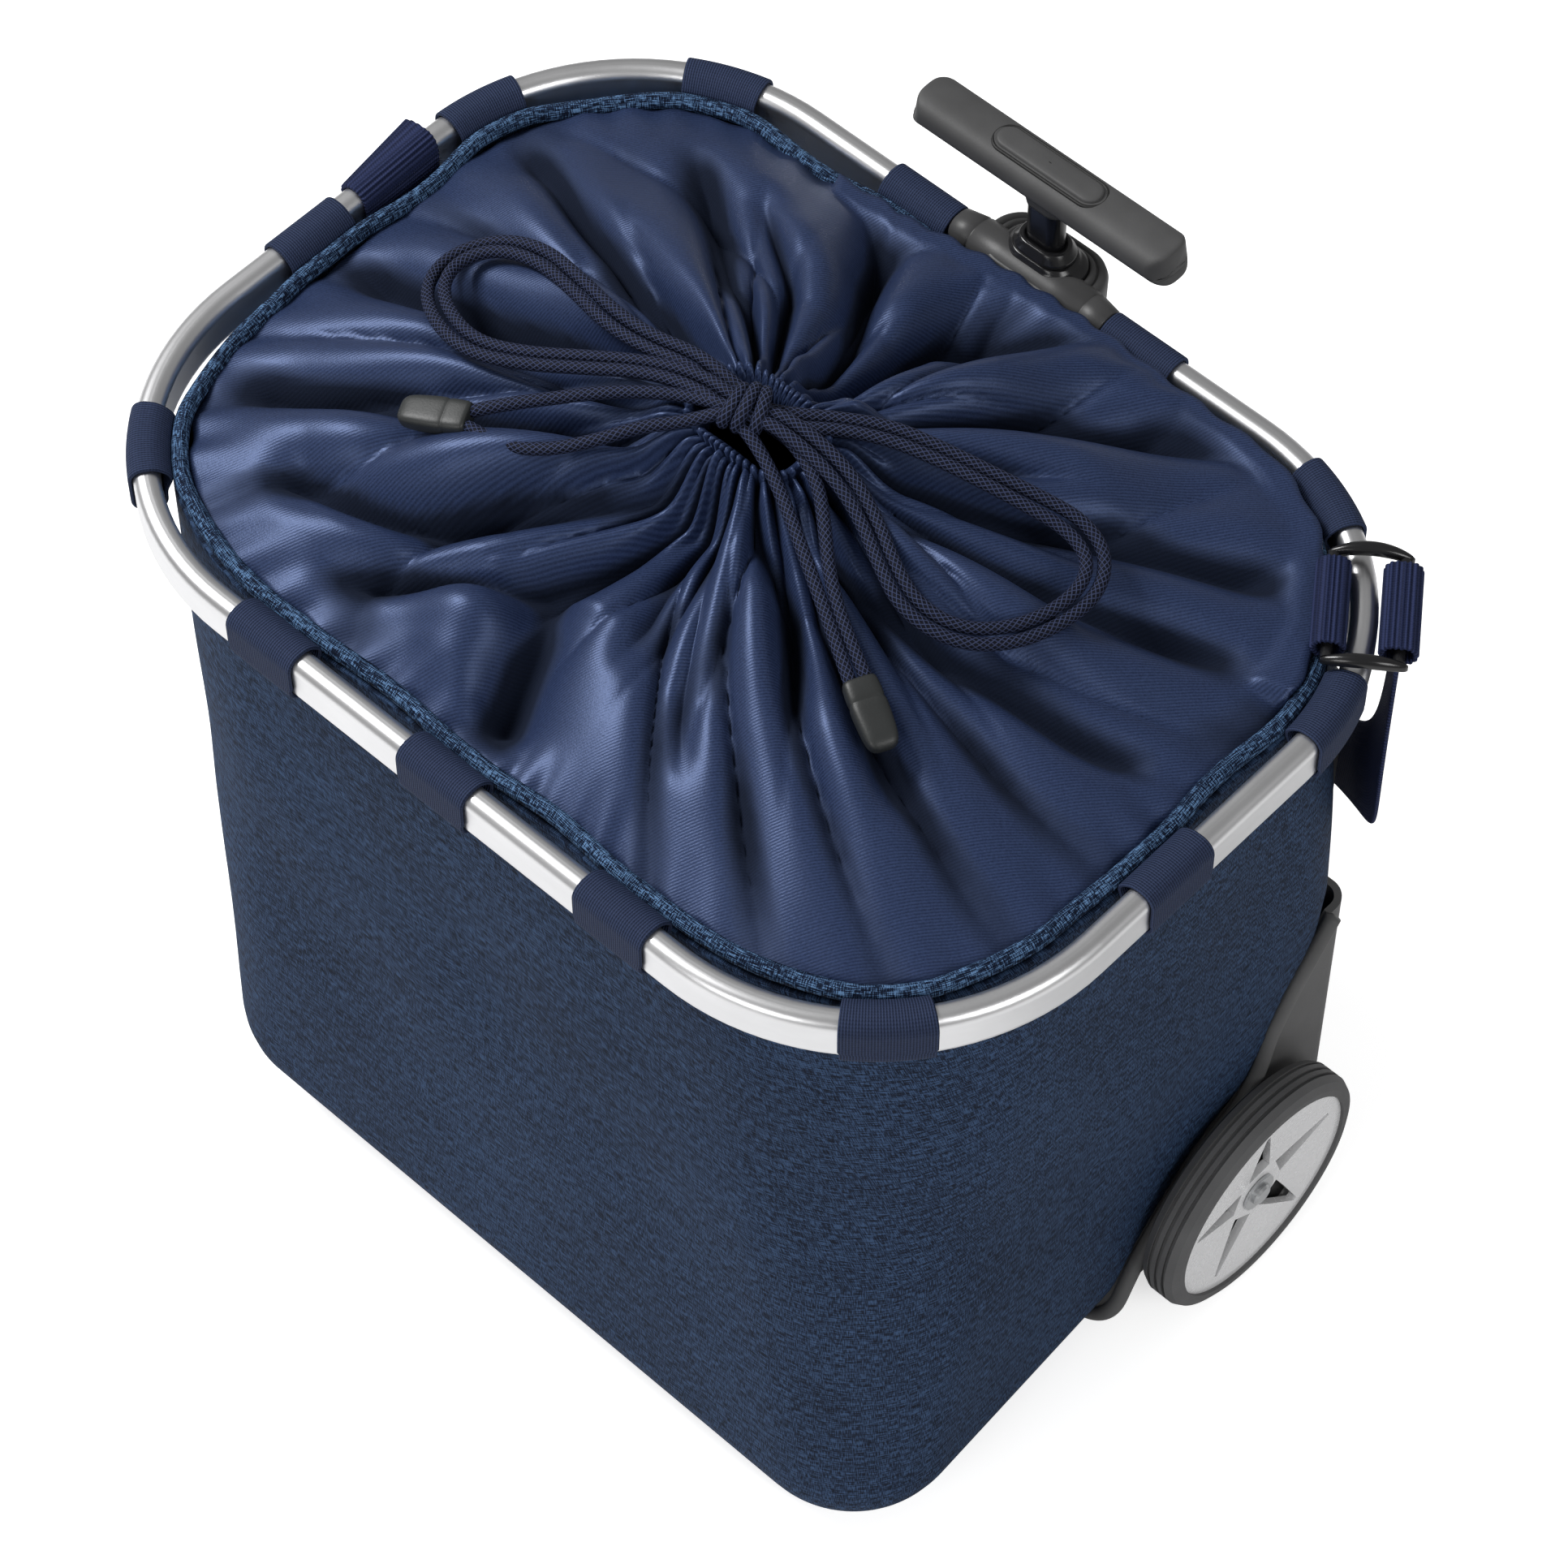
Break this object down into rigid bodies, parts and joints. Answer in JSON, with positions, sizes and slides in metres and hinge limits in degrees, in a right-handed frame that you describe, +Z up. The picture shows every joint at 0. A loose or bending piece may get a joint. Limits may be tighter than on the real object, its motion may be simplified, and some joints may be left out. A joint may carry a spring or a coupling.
{
  "type": "shopping trolley",
  "caption": "Fabric shopping trolley: padded bag hung by webbing loops in an oval metal rim, drawstring cover, telescopic pull handle, carry strap and two wheels.",
  "frame": {"origin": "middle of the footprint, on the floor", "axes": "+Z up, +Y towards the pull handle at the back, +X to the right when seen from the front"},
  "size_m": [0.4366, 0.3314, 0.4505],
  "materials": {
    "rim_aluminium": "satin anodised",
    "collar_plastic": "fine matt, moulded",
    "webbing": "ribbed webbing",
    "bag_fabric": "mottled slub weave",
    "bottom_board": "matt sheet",
    "piping": "corded edge",
    "cover_fabric": "satin twill, gathered",
    "cord_braid": "round braid",
    "cord_end_plastic": "semi-matt",
    "base_plastic": "fine matt, moulded",
    "foot_plastic": "matt, moulded",
    "steel": "bright zinc",
    "hub_plastic": "semi-matt, moulded",
    "tyre_rubber": "matt rubber",
    "pole_aluminium": "satin anodised",
    "shoe_plastic": "matt, moulded",
    "bush_plastic": "gloss black",
    "grip_plastic": "fine matt, moulded",
    "button_plastic": "semi-matt",
    "slider_plastic": "gloss black"
  },
  "bodies": {
    "trolley": {"rim_tube": "rim_aluminium", "rim_collar": "collar_plastic", "loop_front_middle": "webbing", "loop_front_left": "webbing", "loop_front_right": "webbing", "loop_back_left": "webbing", "loop_back_right": "webbing", "loop_side_left": "webbing", "loop_side_right": "webbing", "loop_front_corner_left": "webbing", "loop_front_corner_right": "webbing", "loop_side_corner_left": "webbing", "loop_side_corner_right": "webbing", "loop_back_corner_left": "webbing", "loop_back_corner_right": "webbing", "carry_strap": "webbing", "strap_wraps": "webbing", "bag_shell": "bag_fabric", "bottom_board": "bottom_board", "rim_piping": "piping", "drawstring_cover": "cover_fabric", "cord_left_outer": "cord_braid", "cord_left_inner": "cord_braid", "cord_right_outer": "cord_braid", "cord_right_inner": "cord_braid", "bow_knot": "cord_braid", "cord_end_left": "cord_end_plastic", "cord_end_right": "cord_end_plastic", "wheel_base": "base_plastic", "back_plate": "base_plastic", "front_foot_left": "foot_plastic", "front_foot_right": "foot_plastic", "foot_screws": "steel", "stub_axle_left": "steel", "stub_axle_right": "steel", "axle_washer_left": "steel", "axle_washer_right": "steel", "axle_clip_left": "steel", "axle_clip_right": "steel", "pole_outer_tube": "pole_aluminium", "outer_guide_bush": "bush_plastic", "strap_slider": "slider_plastic"},
    "wheel_left": {"hub_left": "hub_plastic", "tyre_left": "tyre_rubber"},
    "wheel_right": {"hub_right": "hub_plastic", "tyre_right": "tyre_rubber"},
    "middle_stage": {"pole_middle_tube": "pole_aluminium", "middle_shoe": "shoe_plastic", "middle_guide_bush": "bush_plastic"},
    "middle_latch": {"middle_latch_pin": "steel"},
    "inner_stage": {"pole_inner_tube": "pole_aluminium", "inner_shoe": "shoe_plastic", "grip_upper": "grip_plastic", "grip_lower": "grip_plastic", "grip_screws": "steel", "button_spring": "steel"},
    "inner_latch": {"inner_latch_pin": "steel"},
    "button": {"release_button": "button_plastic", "push_rod": "steel"}
  },
  "joints": [
    {"name": "wheel_left_spin", "type": "hinge", "parent": "trolley", "child": "wheel_left", "pos_m": [-0.1945, 0.07155, 0.056], "axis": [1, 0, 0], "continuous": true},
    {"name": "wheel_right_spin", "type": "hinge", "parent": "trolley", "child": "wheel_right", "pos_m": [0.1945, 0.07155, 0.056], "axis": [1, 0, 0], "continuous": true},
    {"name": "middle_stage_slide", "type": "slide", "parent": "trolley", "child": "middle_stage", "axis": [0, 0, 1], "range_m": [0, 0.27]},
    {"name": "inner_stage_slide", "type": "slide", "parent": "middle_stage", "child": "inner_stage", "axis": [0, 0, 1], "range_m": [0, 0.27]},
    {"name": "button_press", "type": "slide", "parent": "inner_stage", "child": "button", "axis": [0, 0, -1], "range_m": [0, 0.003], "stiffness_N_per_m": 400, "springref_m": -0.002, "deforming": ["button_spring"]},
    {"name": "middle_latch_slide", "type": "slide", "parent": "middle_stage", "child": "middle_latch", "axis": [0, 1, 0], "range_m": [0, 0.0014]},
    {"name": "inner_latch_slide", "type": "slide", "parent": "inner_stage", "child": "inner_latch", "axis": [0, 1, 0], "range_m": [0, 0.0014]}
  ]
}
